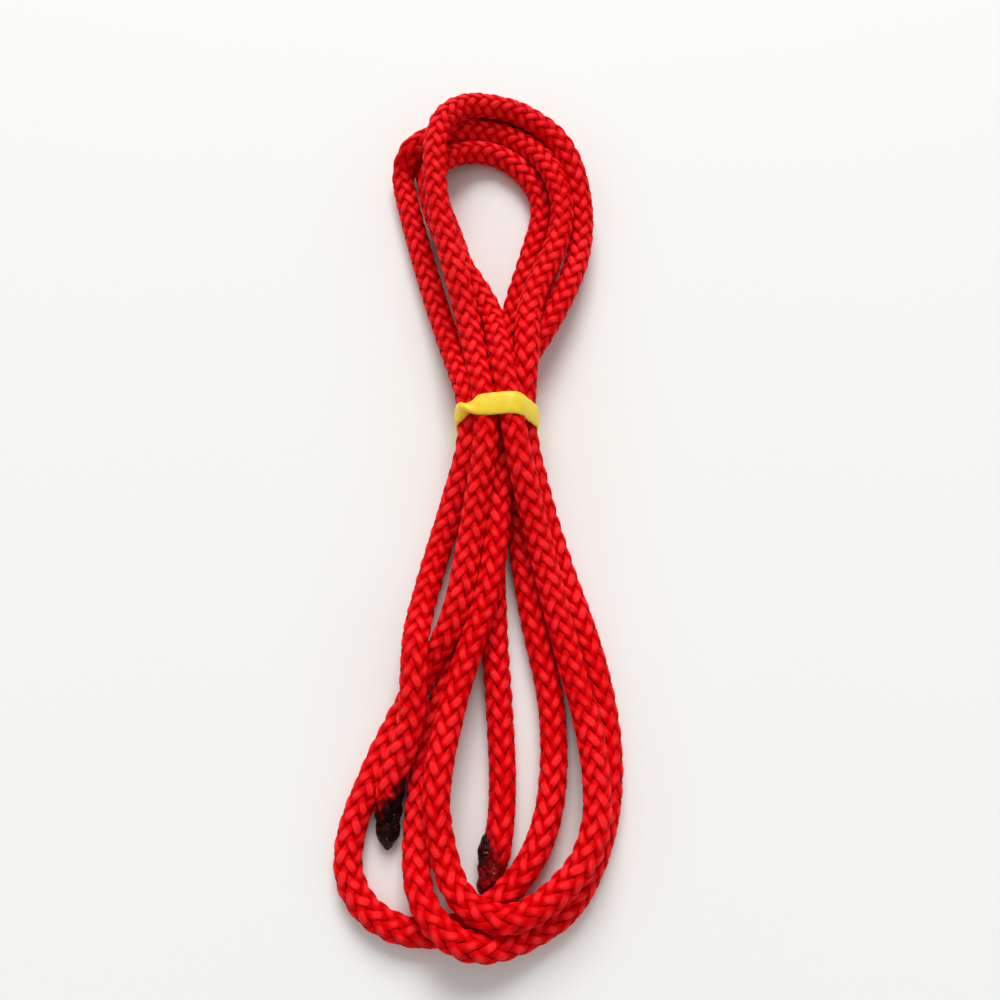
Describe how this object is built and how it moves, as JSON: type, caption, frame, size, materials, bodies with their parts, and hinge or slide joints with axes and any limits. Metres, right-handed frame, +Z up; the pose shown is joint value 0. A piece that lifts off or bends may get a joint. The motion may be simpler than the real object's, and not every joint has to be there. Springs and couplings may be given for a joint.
{
  "type": "lead rope",
  "caption": "Braided cord lead rope with heat-sealed ends, folded into a flat hank and held at its waist by a rubber tie band.",
  "frame": {"origin": "middle of the hank's underside, on the surface that it lies on", "axes": "+Y along the hank towards the upper loops it hangs by, +X to its right seen from above, +Z up off the surface"},
  "size_m": [0.0641, 0.2259, 0.0205],
  "materials": {
    "cover": "satin braided polyester, red",
    "core": "matt straight filler yarns, red",
    "melted": "glossy charred melt",
    "band": "satin natural rubber, yellow"
  },
  "bodies": {
    "root": {"rope_cover": "cover", "rope_core": "core", "sealed_end_first": "melted", "sealed_end_second": "melted", "tie_band": "band"}
  },
  "joints": []
}
